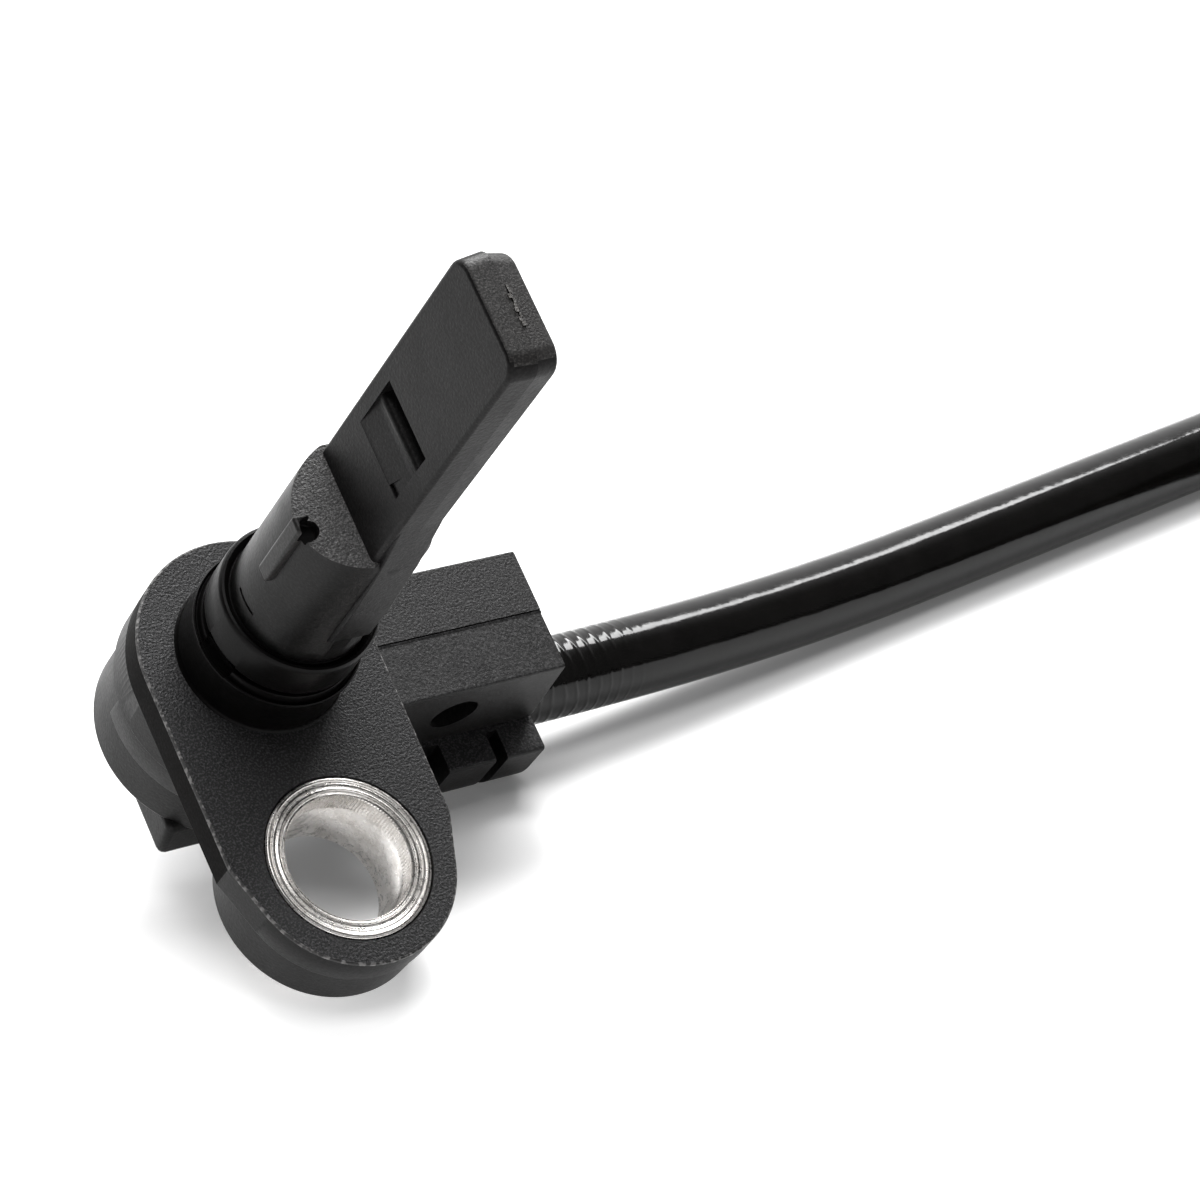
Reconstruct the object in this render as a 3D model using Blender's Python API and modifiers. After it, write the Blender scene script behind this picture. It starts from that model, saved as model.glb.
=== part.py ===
"""Wheel speed sensor with bolt flange, lead and two-way connector.

Units are metres. The head is designed in its own frame, in millimetres turned into metres by MM:
  z  along the probe, from the flange's seat face (z = 0) to the tip
  y  across the blade's wide face; the bolt hole is at y = -BOLT_SPAN
  x  the way the lead leaves the outlet
The head then lies on the ground on its bolt boss and its lead outlet, held by the empty "head_pose".
The lead runs off along the ground into a coil, and the connector lies beside the coil.
"""
import bpy
import bmesh
import numpy as np
from math import sin, cos, pi, sqrt, atan2, acos, radians, degrees
from mathutils import Euler, Matrix, Vector

MM = 0.001

# ---------------------------------------------------------------- driving dimensions, mm
GAP = 0.30                 # clearance between neighbouring pieces
BOLT_SPAN = 12.24          # probe axis to bolt axis
FLANGE_R = 6.82            # round end of the flange about the probe axis
FLANGE_HALF = 6.72         # half width where the straight sides end
FLANGE_SIDE_END = -11.2    # y where the straight sides end
FLANGE_T = 1.95            # flange plate
BOSS_R = 6.05              # bolt boss at the seat face
BOSS_R_LOW = 5.92
BOSS_T = 4.60
BUSH_R = 4.60
BUSH_BORE = 3.48
BUSH_TOP = 0.04
BUSH_LOW = -4.95

DRUM_R = 6.44              # round back of the housing, about the probe axis
DRUM_LOW = -8.76
RIB_R = 6.80               # raised band under the flange
RIB_LOW = -4.0
STEP_R = 6.66              # second band, on the bolt side only
STEP_LOW = -5.7

BOX_X = 19.10              # end face of the box
BOX_HALF = 3.76
BOX_TOP = -2.60
BOX_LOW = -9.10
PIN_HOLE = (13.0, -5.80, 1.45)   # x, z, radius of the core-pin holes in the box's sides

PAD_X = (-4.6, 3.5)        # rear pad
PAD_Y_LOW = (-5.75, 2.2)
PAD_Y_TOP = (-5.35, 1.8)
PAD_TOP, PAD_LOW = -8.4, -11.05

OUT_X = (1.5, 19.85)       # lead outlet under the box
OUT_HALF = 5.85
OUT_TOP, OUT_LOW = -9.15, -14.80
OUT_ROUND = 3.20
SLOTS = ((12.0, 13.3), (16.45, 17.22))
SLOT_IN = 4.05             # the relief slots stop this far from the middle

LEAD_D = 4.90
LEAD_Y, LEAD_Z = -0.90, -11.40   # axis of the lead in the outlet
LEAD_IN = 10.0             # the jacket's end inside the outlet

RING_R = 4.62              # raised ring on the flange
RING_TOP = 2.85
RING_LIP = 3.42
RING_BORE = 3.90

COLLAR_R = 4.38            # collar of the probe
COLLAR_Z = (3.72, 6.30)
STEM_R, STEM_LOW = 3.60, -1.60
SHANK_R = 3.76
SHOULDER_Z, SHOULDER_LOW = 16.20, 14.50   # shoulder and the foot of its slanted rim
SHOULDER_R = 3.42
BLADE_FRONT, BLADE_PART, BLADE_BACK = -1.26, 0.12, 1.48
BLADE_HALF, BLADE_HALF_PART = 3.32, 3.41
TIP_Z, TIP_Z_PART = 33.90, 34.05
TIP_ROUND = 1.05

# rest pose of the head: turned about its own x, y, z, then tipped about the world X until it touches at both supports
TURN = (60.95, -10.85, 33.55)

# the lead on the ground
LEAD_ON_GROUND = LEAD_D / 2 + 0.05
HEADING = 41.0             # degrees, the straight run
RUN_END = (74.6, 69.6)     # where the straight run meets the coil
COIL_R = 26.5              # middle of the two lower turns
TURN_GAP = 5.0             # between neighbouring turns
TOP_TURN_Z = 6.80
COIL_END = 0.0             # angle at which the last turn leaves the coil, degrees
TIE_AT = -62.0             # angle of the tie round the coil

CON_Z = 7.0                # height of the connector's axis
CON_REAR, CON_FRONT = 22.0, -16.0
CON_HALF = 8.5
PIN_X = 2.9                # half the contact spacing

# ---------------------------------------------------------------- scene set-up
for ob in list(bpy.data.objects):
    bpy.data.objects.remove(ob, do_unlink=True)

parts = bpy.data.collections.new("abs_wheel_speed_sensor")
cutters = bpy.data.collections.new("cutters")
bpy.context.scene.collection.children.link(parts)
bpy.context.scene.collection.children.link(cutters)


def material(name, rgb, rough, metal=0.0):
    m = bpy.data.materials.new(name)
    m.use_nodes = True
    b = m.node_tree.nodes["Principled BSDF"]
    b.inputs["Base Color"].default_value = (*rgb, 1.0)
    b.inputs["Roughness"].default_value = rough
    b.inputs["Metallic"].default_value = metal
    m.diffuse_color = (*rgb, 1.0)
    return m


# ---------------------------------------------------------------- shape helpers (all sizes in mm)
def link(ob, mat=None):
    """A piece goes in the parts collection, a cutter or a joined shape in the other one."""
    if mat is None:
        cutters.objects.link(ob)
        ob.hide_render = True
        ob.display_type = 'WIRE'
    else:
        parts.objects.link(ob)
        ob.data.materials.clear()
        ob.data.materials.append(mat)
    return ob


def mesh_object(name, bm, mat=None):
    me = bpy.data.meshes.new(name)
    bmesh.ops.recalc_face_normals(bm, faces=bm.faces[:])
    bm.to_mesh(me)
    bm.free()
    return link(bpy.data.objects.new(name, me), mat)


def box(name, x, y, z, mat=None, bevel=0.0, segments=1):
    bm = bmesh.new()
    bmesh.ops.create_cube(bm, size=1.0)
    size = Vector((x[1] - x[0], y[1] - y[0], z[1] - z[0])) * MM
    mid = Vector((x[0] + x[1], y[0] + y[1], z[0] + z[1])) * MM / 2
    bmesh.ops.scale(bm, vec=size, verts=bm.verts)
    bmesh.ops.translate(bm, vec=mid, verts=bm.verts)
    ob = mesh_object(name, bm, mat)
    if bevel:
        m = ob.modifiers.new("round", 'BEVEL')
        m.width = bevel * MM
        m.segments = segments
        m.limit_method = 'ANGLE'
    return ob


def cylinder(name, r, lo, hi, at=(0.0, 0.0), axis='Z', n=48, r_hi=None, mat=None):
    """Round bar along an axis; at is its centre in the two other axes, in X, Y, Z order."""
    bm = bmesh.new()
    bmesh.ops.create_cone(bm, cap_ends=True, segments=n, radius1=r * MM, radius2=(r if r_hi is None else r_hi) * MM,
                          depth=(hi - lo) * MM)
    mid = (lo + hi) / 2
    if axis == 'Z':
        turn, place = Matrix.Identity(3), (at[0], at[1], mid)
    elif axis == 'X':
        turn, place = Matrix.Rotation(pi / 2, 3, 'Y'), (mid, at[0], at[1])
    else:
        turn, place = Matrix.Rotation(-pi / 2, 3, 'X'), (at[0], mid, at[1])
    bmesh.ops.rotate(bm, matrix=turn, verts=bm.verts)
    bmesh.ops.translate(bm, vec=Vector(place) * MM, verts=bm.verts)
    return mesh_object(name, bm, mat)


def prism(name, outline, lo, hi, plane='XY', mat=None):
    """Flat outline (a filled 2D curve) with thickness from lo to hi along the plane's normal."""
    cu = bpy.data.curves.new(name, 'CURVE')
    cu.dimensions = '2D'
    cu.fill_mode = 'BOTH'
    cu.extrude = (hi - lo) / 2 * MM
    sp = cu.splines.new('POLY')
    sp.points.add(len(outline) - 1)
    for p, (u, v) in zip(sp.points, outline):
        p.co = (u * MM, v * MM, 0, 1)
    sp.use_cyclic_u = True
    flat = bpy.data.objects.new(name, cu)
    mid = (lo + hi) / 2 * MM
    if plane == 'XY':
        flat.matrix_world = Matrix.Translation((0, 0, mid))
    elif plane == 'XZ':
        flat.matrix_world = Matrix.Translation((0, mid, 0)) @ Matrix.Rotation(pi / 2, 4, 'X')
    else:
        flat.matrix_world = Matrix.Translation((mid, 0, 0)) @ Matrix(((0, 0, 1, 0), (1, 0, 0, 0), (0, 1, 0, 0), (0, 0, 0, 1)))
    return solid_of(flat, name, mat)


def solid_of(curve_ob, name, mat=None):
    """The curve's solid as a mesh object in the same place; the curve is removed."""
    bpy.context.scene.collection.objects.link(curve_ob)
    bpy.context.view_layer.update()
    dg = bpy.context.evaluated_depsgraph_get()
    me = bpy.data.meshes.new_from_object(curve_ob.evaluated_get(dg))
    mw = curve_ob.matrix_world.copy()
    bm = bmesh.new()
    bm.from_mesh(me)
    bpy.data.meshes.remove(me)
    bpy.data.objects.remove(curve_ob, do_unlink=True)
    bmesh.ops.transform(bm, matrix=mw, verts=bm.verts)
    bmesh.ops.remove_doubles(bm, verts=bm.verts, dist=1e-6)
    return mesh_object(name, bm, mat)


def turned(name, profile, n=48, at=(0.0, 0.0), mat=None, closed=False):
    """Screw of a profile (r, z) that runs down its outer side; closed joins the last point to the first."""
    me = bpy.data.meshes.new(name)
    verts = [(r * MM, 0, z * MM) for r, z in profile]
    edges = [(i, i + 1) for i in range(len(verts) - 1)] + ([(len(verts) - 1, 0)] if closed else [])
    me.from_pydata(verts, edges, [])
    ob = link(bpy.data.objects.new(name, me), mat)
    ob.location = (at[0] * MM, at[1] * MM, 0)
    m = ob.modifiers.new("turn", 'SCREW')
    m.steps = m.render_steps = n
    m.use_merge_vertices = True
    m.merge_threshold = 1e-6
    return ob


def tube_curve(name, points, d, resolution=2):
    """Curve object of a round bar of diameter d mm along points in mm, not linked yet."""
    cu = bpy.data.curves.new(name, 'CURVE')
    cu.dimensions = '3D'
    cu.bevel_depth = d / 2 * MM
    cu.bevel_resolution = resolution
    cu.use_fill_caps = True
    sp = cu.splines.new('POLY')
    sp.points.add(len(points) - 1)
    for p, c in zip(sp.points, points):
        p.co = (c[0] * MM, c[1] * MM, c[2] * MM, 1)
    return bpy.data.objects.new(name, cu)


def tube(name, points, d, mat, resolution=2):
    ob = tube_curve(name, points, d, resolution)
    parts.objects.link(ob)
    ob.data.materials.append(mat)
    return ob


def boolean(ob, other, how, solver):
    m = ob.modifiers.new(how.lower() + "_" + other.name, 'BOOLEAN')
    m.operation = how
    m.solver = solver
    m.object = other
    return ob


def join(ob, *others, solver='EXACT'):
    for o in others:
        boolean(ob, o, 'UNION', solver)
    return ob


def cut(ob, *others, solver='EXACT'):
    for o in others:
        boolean(ob, o, 'DIFFERENCE', solver)
    return ob


def arc(cx, cy, r, a0, a1, n):
    return [(cx + r * cos(radians(a)), cy + r * sin(radians(a))) for a in np.linspace(a0, a1, n)]


def evaluated_points(ob):
    bpy.context.view_layer.update()
    me = ob.evaluated_get(bpy.context.evaluated_depsgraph_get()).data
    return np.array([v.co for v in me.vertices])


# ---------------------------------------------------------------- materials
nylon = material("black_nylon", (0.022, 0.022, 0.023), 0.55)
probe_plastic = material("black_probe_plastic", (0.024, 0.024, 0.025), 0.42)
steel = material("plated_bush", (0.66, 0.63, 0.60), 0.32, 1.0)
jacket = material("cable_jacket", (0.012, 0.012, 0.013), 0.14)
epoxy = material("ic_epoxy", (0.02, 0.02, 0.022), 0.5)
ceramic = material("capacitor_moulding", (0.05, 0.05, 0.055), 0.5)
tin = material("tinned_lead", (0.72, 0.72, 0.70), 0.3, 1.0)
copper = material("copper", (0.80, 0.42, 0.26), 0.3, 1.0)
carrier_plastic = material("carrier_plastic", (0.55, 0.53, 0.47), 0.5)
core_a_mat = material("core_insulation_a", (0.30, 0.11, 0.04), 0.4)
core_b_mat = material("core_insulation_b", (0.03, 0.08, 0.35), 0.4)
connector_plastic = material("connector_plastic", (0.028, 0.028, 0.03), 0.45)
hood_plastic = material("hood_plastic", (0.03, 0.03, 0.032), 0.5)
wire_rubber = material("wire_seal_rubber", (0.10, 0.32, 0.12), 0.6)
lock_plastic = material("lock_plastic", (0.45, 0.05, 0.04), 0.45)
brass = material("contact_metal", (0.76, 0.70, 0.55), 0.28, 1.0)
tie_plastic = material("tie_plastic", (0.02, 0.02, 0.02), 0.45)

# ================================================================ the head, in its own frame
head = []                  # every piece of the head, to be parented to the pose empty


def flange_outline(n_end=30, n_boss=26):
    """Round end about the probe, straight sides, then tangents on to the smaller round end at the bolt."""
    dx, dy = FLANGE_HALF, FLANGE_SIDE_END + BOLT_SPAN
    reach = atan2(dy, dx) - acos(BOSS_R / sqrt(dx * dx + dy * dy))
    a = degrees(reach)
    pts = arc(0, 0, FLANGE_R, 0, 180, n_end)
    pts += [(-FLANGE_HALF, FLANGE_SIDE_END)]
    pts += arc(0, -BOLT_SPAN, BOSS_R, 180 - a, 360 + a, n_boss)
    pts += [(FLANGE_HALF, FLANGE_SIDE_END)]
    return pts


def outlet_outline():
    """Section of the lead outlet, seen along the lead: flat on top, large rounds below."""
    c, r = OUT_HALF - OUT_ROUND, OUT_ROUND
    return ([(OUT_HALF, OUT_TOP), (-OUT_HALF, OUT_TOP)] + arc(-c, OUT_LOW + r, r, 180, 270, 9) + arc(c, OUT_LOW + r, r, 270, 360, 9))


def build_housing():
    h = prism("mounting_housing", flange_outline(), -FLANGE_T, 0, mat=nylon)
    boss = cylinder("boss", BOSS_R_LOW, -BOSS_T, -0.5, at=(0, -BOLT_SPAN), n=48, r_hi=BOSS_R)
    drum = cylinder("drum", DRUM_R, DRUM_LOW, -1.0, n=48)
    band = cylinder("drum_band", RIB_R, RIB_LOW, -0.9, n=48)
    step = prism("drum_step", [(0.0, 0.0)] + arc(0, 0, STEP_R, 172, 262, 14), STEP_LOW, -0.8)
    outlet = prism("outlet_box", [(1.0, BOX_LOW), (BOX_X + 0.65, BOX_LOW), (BOX_X, BOX_TOP), (1.0, BOX_TOP)], -BOX_HALF, BOX_HALF, plane='XZ')
    pad = prism("rear_pad", [(PAD_Y_LOW[0] + 0.5, PAD_LOW), (PAD_Y_LOW[1], PAD_LOW), (PAD_Y_TOP[1], PAD_TOP), (PAD_Y_TOP[0], PAD_TOP),
                             (PAD_Y_LOW[0], PAD_LOW + 0.5)], PAD_X[0], PAD_X[1], plane='YZ')
    lead_outlet = prism("lead_outlet", outlet_outline(), OUT_X[0], OUT_X[1], plane='YZ')
    ring = turned("collar_ring", [(0, RING_LIP), (RING_R - 0.30, RING_LIP), (RING_R, RING_TOP), (RING_R, 0.25), (RING_R + 0.22, -0.5), (0, -0.5)], 48)
    join(h, boss, drum, band, step, outlet, pad, lead_outlet, ring, solver='MANIFOLD')
    probe_hole = cylinder("probe_hole", RING_BORE, STEM_LOW - GAP, RING_LIP + 1, n=48)
    bush_hole = cylinder("bush_hole", BUSH_R + GAP, -BOSS_T - 2, 2, at=(0, -BOLT_SPAN), n=48)
    cavity = box("cavity", (-3.7, 4.9), (-3.3, 3.3), (-8.0, STEM_LOW + 0.4))
    lead_hole = cylinder("lead_hole", LEAD_D / 2 + GAP, 4.5, OUT_X[1] + 2, at=(LEAD_Y, LEAD_Z), axis='X', n=32)
    core_way = box("core_way", (3.2, 9.2), (-3.0, 2.3), (-13.2, -5.0))
    pins = [cylinder("pin_hole_%d" % i, PIN_HOLE[2], lo, hi, at=(PIN_HOLE[0], PIN_HOLE[1]), axis='Y', n=24)
            for i, (lo, hi) in enumerate(((-6, -1.2), (1.2, 6)))]
    slots = [box("slot_%d_%d" % (i, s), x, sorted((s * SLOT_IN, s * 8.0)), (-17, BOX_LOW + 0.0))
             for i, x in enumerate(SLOTS) for s in (-1, 1)]
    notch = box("ring_notch", (-5.2, -4.02), (-1.1, 0.95), (2.75, RING_LIP + 1))
    cut(h, probe_hole, bush_hole, cavity, lead_hole, core_way, notch, *pins, *slots, solver='MANIFOLD')
    head.append(h)
    return h


def build_probe():
    c = COLLAR_Z[1]
    prof = [(0, SHOULDER_Z), (SHOULDER_R, SHOULDER_Z), (SHANK_R, SHOULDER_LOW), (SHANK_R, c - 0.25), (SHANK_R + 0.18, c - 0.34),
            (COLLAR_R - 0.26, c - 0.06), (COLLAR_R - 0.12, c), (COLLAR_R - 0.02, c - 0.12), (COLLAR_R, c - 0.32), (COLLAR_R, COLLAR_Z[0]),
            (STEM_R, COLLAR_Z[0]), (STEM_R, STEM_LOW), (0, STEM_LOW)]
    p = turned("probe_body", prof, 48, mat=probe_plastic)

    def blade_outline(half, top, r):
        return [(-half, 12.0), (half, 12.0)] + arc(half - r, top - r, r, 0, 90, 6) + arc(-half + r, top - r, r, 90, 180, 6)
    front = prism("blade_front", blade_outline(BLADE_HALF, TIP_Z, TIP_ROUND), BLADE_FRONT, BLADE_PART + 0.1, plane='YZ')
    mid = prism("blade_mid", blade_outline(BLADE_HALF_PART, TIP_Z_PART, TIP_ROUND), BLADE_PART - 0.35, BLADE_PART + 0.35, plane='YZ')
    back = prism("blade_back", blade_outline(BLADE_HALF, TIP_Z, TIP_ROUND), BLADE_PART - 0.1, BLADE_BACK, plane='YZ')
    rib = box("crush_rib", (-4.05, -3.2), (-0.75, 0.30), (10.5, 15.4))
    join(p, front, mid, back, rib)
    pocket = prism("pocket", [(BLADE_FRONT - 0.5, 20.4), (BLADE_FRONT, 20.4), (BLADE_FRONT + 0.25, 20.9), (BLADE_FRONT + 0.42, 23.5),
                              (BLADE_FRONT + 0.62, 23.6), (BLADE_FRONT + 0.62, 24.2), (BLADE_FRONT - 0.5, 24.2)], -2.2, 2.25, plane='XZ')
    notch = cylinder("shoulder_notch", 0.55, 15.0, 17, at=(-3.35, -0.55), n=16)
    ic_room = box("ic_room", (-0.72, 0.95), (-2.3, 2.3), (28.0, 33.1))
    lead_room = box("lead_room", (-0.30, 0.55), (-2.0, 2.0), (STEM_LOW - 1, 28.3))
    cap_room = box("cap_room", (-1.60, 0.55), (-2.7, 2.7), (STEM_LOW - 1, 14.0))
    cut(p, pocket, notch, ic_room, lead_room, cap_room)
    head.append(p)
    return p


def build_bush():
    c = 0.12
    prof = [(BUSH_BORE + 0.10, BUSH_TOP), (BUSH_R - c, BUSH_TOP), (BUSH_R, BUSH_TOP - c), (BUSH_R, BUSH_LOW + c), (BUSH_R - c, BUSH_LOW),
            (BUSH_BORE + 0.10, BUSH_LOW), (BUSH_BORE, BUSH_LOW + 0.10), (BUSH_BORE, BUSH_TOP - 0.10)]
    b = turned("bolt_bush", prof, 48, at=(0, -BOLT_SPAN), mat=steel, closed=True)
    head.append(b)
    return b


def smooth_between(a, b, n):
    """Points from a to b that leave and arrive along the x axis."""
    out = []
    for t in np.linspace(0, 1, n):
        s = t * t * (3 - 2 * t)
        out.append((a[0] + (b[0] - a[0]) * t, a[1] + (b[1] - a[1]) * s, a[2] + (b[2] - a[2]) * s))
    return out


def build_inside():
    out = []
    out.append(box("sensor_ic", (-0.40, 0.65), (-2.0, 2.0), (28.6, 32.8), epoxy, bevel=0.12))
    for s, tag in ((1, "a"), (-1, "b")):
        y0, y1 = sorted((s * 1.02, s * 1.52))
        out.append(box("ic_lead_" + tag, (0.0, 0.25), (y0, y1), (-4.75, 28.3), tin))
        y0, y1 = sorted((s * 0.55, s * 1.99))
        crimp = box("crimp_" + tag, (-1.4, 1.4), (y0, y1), (-6.75, -5.05), tin, bevel=0.15)
        cut(crimp, cylinder("crimp_bore_" + tag, 0.58, -2.5, 2.5, at=(s * 1.27, -5.9), axis='X', n=16))
        out.append(crimp)
        out.append(cylinder("conductor_" + tag, 0.28, -1.1, 1.5, at=(s * 1.27, -5.9), axis='X', n=12, mat=copper))
        pts = smooth_between((1.85, s * 1.27, -5.9), (9.65, LEAD_Y + s * 1.06, LEAD_Z), 13)
        out.append(tube("core_" + tag, pts, 1.5, core_a_mat if tag == "a" else core_b_mat))
    out.append(box("capacitor_module", (-1.25, -0.30), (-2.35, 2.35), (10.0, 13.2), ceramic, bevel=0.12))
    tray = box("inner_carrier", (-3.3, 1.4), (-2.95, 2.95), (-7.7, -7.1), carrier_plastic)
    wall_l = box("carrier_wall_l", (-3.3, -2.6), (-2.95, 2.95), (-7.4, -3.6))
    rib = box("carrier_rib", (-2.9, 1.4), (-0.22, 0.22), (-7.4, -4.2))
    side_a = box("carrier_side_a", (-3.3, 1.4), (2.35, 2.95), (-7.4, -5.2))
    side_b = box("carrier_side_b", (-3.3, 1.4), (-2.95, -2.35), (-7.4, -5.2))
    out.append(join(tray, wall_l, rib, side_a, side_b))
    head.extend(out)


housing = build_housing()
build_probe()
build_bush()
build_inside()


# ---------------------------------------------------------------- rest pose of the head
def rest_pose(points):
    """Rotation and height at which the boss and the end of the lead outlet both touch the ground."""
    base = Euler([radians(a) for a in TURN], 'XYZ').to_matrix()
    boss = points[(points[:, 1] < -6.5 * MM) & (points[:, 2] < -3 * MM) & (points[:, 0] < 7 * MM)]
    end = points[points[:, 0] > 18 * MM]

    def tipped(t):
        return np.array(Matrix.Rotation(-t, 3, 'X') @ base)
    lo, hi = radians(15), radians(40)
    for _ in range(50):
        t = (lo + hi) / 2
        r = tipped(t)
        if (end @ r[2]).min() > (boss @ r[2]).min():
            lo = t
        else:
            hi = t
    r = tipped(t)
    return Matrix(r.tolist()), -min((boss @ r[2]).min(), (end @ r[2]).min()), t


turn, rise, tip = rest_pose(evaluated_points(housing))
cloud = np.vstack([evaluated_points(ob) for ob in head if ob.type == 'MESH']) @ np.array(turn).T
middle = (cloud.min(axis=0) + cloud.max(axis=0)) / 2     # the head's box is centred on the world Z axis
pose = bpy.data.objects.new("head_pose", None)
parts.objects.link(pose)
pose.matrix_world = Matrix.Translation((-middle[0], -middle[1], rise)) @ turn.to_4x4()
for ob in list(cutters.objects) + head:
    ob.parent = pose


# ================================================================ the lead
def at_head(x, y, z):
    return np.array(turn @ Vector((x, y, z))) + np.array([0, 0, rise / MM])


lead_way = np.array(turn @ Vector((1, 0, 0)))
inner_end = at_head(LEAD_IN, LEAD_Y, LEAD_Z)
exit_at = at_head(OUT_X[1], LEAD_Y, LEAD_Z)
run_way = np.array([cos(radians(HEADING)), sin(radians(HEADING)), 0.0])
coil_at = np.array([RUN_END[0] + (COIL_R + TURN_GAP / 2) * sin(radians(HEADING)), RUN_END[1] - (COIL_R + TURN_GAP / 2) * cos(radians(HEADING)), 0.0])


def bezier(p0, p1, p2, p3, n):
    t = np.linspace(0, 1, n)[:, None]
    return (1 - t) ** 3 * p0 + 3 * t * (1 - t) ** 2 * p1 + 3 * t * t * (1 - t) * p2 + t ** 3 * p3


def on_coil(angle, r, z):
    return np.array([coil_at[0] + r * cos(radians(angle)), coil_at[1] + r * sin(radians(angle)), z])


# from inside the outlet to the ground, then straight to the coil
landing = np.array([38.2, 38.0, LEAD_ON_GROUND])
run_end = np.array([RUN_END[0], RUN_END[1], LEAD_ON_GROUND])
fall = bezier(exit_at, exit_at + lead_way * 11.0, landing - run_way * 12.0, landing, 5)
stub_start = run_end - run_way * 19.0
along = [landing + (stub_start - landing) * t for t in np.linspace(0, 1, 4)[1:]]
first = [inner_end + (exit_at - inner_end) * t for t in (0.0, 0.35, 0.7)]
tube("cable_jacket", first + list(fall) + along, LEAD_D, jacket, resolution=3)

# the coil: two turns on the ground, then part of a turn on top that runs out to the connector
start = 90.0 + HEADING
inner, outer = COIL_R - TURN_GAP / 2 - LEAD_D / 2, COIL_R + TURN_GAP / 2 + LEAD_D / 2
low, high, c = 0.05, LEAD_D + 0.1, 1.4
ring = turned("cable_coil", [(inner + c, high), (outer - c, high), (outer, high - c), (outer, low + c), (outer - c, low), (inner + c, low),
                             (inner, low + c), (inner, high - c)], 64, at=(coil_at[0], coil_at[1]), mat=jacket, closed=True)
lead_in = cylinder("lead_in", LEAD_D / 2, 0, 19.0 - GAP, n=12)
lead_in.matrix_world = Matrix.Translation(Vector(run_end) * MM) @ Vector(-run_way).to_track_quat('Z', 'Y').to_matrix().to_4x4()
rise_to = [on_coil(start - a, COIL_R, LEAD_ON_GROUND + (TOP_TURN_Z - LEAD_ON_GROUND) * min(1, a / 50.0) ** 0.8) for a in np.linspace(14, start - COIL_END, 16)]
tail_z = CON_Z + 0.4
leave = on_coil(COIL_END, COIL_R, tail_z)
tail_stub = leave + np.array([0, -18.0, 0])
top = tube_curve("top_turn", rise_to[:-1] + [leave, leave + np.array([0, -6.0, 0]), leave + np.array([0, -12.0, 0]), tail_stub], LEAD_D, 3)
top_turn = solid_of(top, "top_turn")
join(ring, lead_in, top_turn, solver='MANIFOLD')

# ---------------------------------------------------------------- the tie round the coil
TIE_T, TIE_W = 0.80, 2.60
band_in = (inner - 0.35, outer + 0.35, TIE_T, LEAD_D + TIE_T + 0.55)
tie = box("coil_tie", (band_in[0] - TIE_T, band_in[1] + TIE_T), (-TIE_W / 2, TIE_W / 2), (0.0, band_in[3] + TIE_T), tie_plastic, bevel=0.5, segments=2)
tie_head = box("tie_head", (band_in[1] - 0.1, band_in[1] + 3.6), (-2.2, 2.2), (1.6, 5.4))
tie_hole = box("tie_hole", band_in[:2], (-4, 4), band_in[2:])
tie_tail = box("tie_tail", (band_in[1] + 1.2, band_in[1] + 2.1), (-1.25, 1.25), (4.0, 9.0))
join(tie, tie_head, tie_tail)
cut(tie, tie_hole)
under = box("under_tie", (inner - 2, outer + 2), (-TIE_W / 2 - GAP, TIE_W / 2 + GAP), (-1, TIE_T + GAP))
for ob in (tie, tie_head, tie_hole, tie_tail, under):
    ob.matrix_world = Matrix.Translation(Vector(coil_at) * MM) @ Matrix.Rotation(radians(TIE_AT), 4, 'Z')
cut(ring, under, solver='MANIFOLD')

# ================================================================ the connector, front towards -Y
con_x = leave[0]


def cx(a, b):
    return (con_x + a, con_x + b)


body = box("connector_body", cx(-CON_HALF, CON_HALF), (CON_FRONT, 9.0), (0.0, 2 * CON_Z), connector_plastic, bevel=0.7, segments=2)
latch = prism("latch_ramp", [(CON_FRONT + 3.0, 13.5), (-6.0, 13.5), (-6.0, 15.8), (-7.2, 15.8)], con_x - 2.4, con_x + 2.4, plane='YZ')
rails = [box("rail_%d" % i, cx(*sorted((s * (CON_HALF - 0.5), s * (CON_HALF + 1.0)))), (-12.0, 7.0), (5.6, 8.4)) for i, s in enumerate((-1, 1))]
join(body, latch, *rails)
shroud = box("shroud", cx(-6.5, 6.5), (CON_FRONT - 2, -4.0), (2.0, 12.0))
ways = [box("way_%d" % i, cx(s * PIN_X - 1.1, s * PIN_X + 1.1), (-5.0, 0.0), (CON_Z - 0.75, CON_Z + 0.75)) for i, s in enumerate((-1, 1))]
bores = [cylinder("terminal_bore_%d" % i, 2.35, -1.2, 10.0, at=(con_x + s * PIN_X, CON_Z), axis='Y', n=32) for i, s in enumerate((-1, 1))]
lock_way = box("lock_way", cx(-5.3, 5.3), (0.6, 3.8), (9.6, 2 * CON_Z + 1))
cut(body, shroud, *ways, *bores, lock_way)

box("secondary_lock", cx(-5.0, 5.0), (0.9, 3.5), (9.9, 2 * CON_Z + 0.2), lock_plastic, bevel=0.25)

hood = prism("connector_hood", [(con_x - 7.4, 9.3), (con_x + 7.4, 9.3), (con_x + 7.4, 13.5), (con_x + 4.6, CON_REAR), (con_x - 4.6, CON_REAR),
                                (con_x - 7.4, 13.5)], 1.4, 12.6, mat=hood_plastic)
hood_room = prism("hood_room", [(con_x - 5.9, 10.8), (con_x + 5.9, 10.8), (con_x + 5.9, 13.6), (con_x + 3.3, 20.2), (con_x - 3.3, 20.2),
                                (con_x - 5.9, 13.6)], 2.9, 11.1)
hood_way = cylinder("hood_way", LEAD_D / 2 + GAP, 18.0, CON_REAR + 2, at=(con_x, CON_Z), axis='Y', n=32)
hood_holes = [cylinder("hood_hole_%d" % i, 1.10, 8.0, 12.0, at=(con_x + s * PIN_X, CON_Z), axis='Y', n=16) for i, s in enumerate((-1, 1))]
cut(hood, hood_room, hood_way, *hood_holes)

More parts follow.
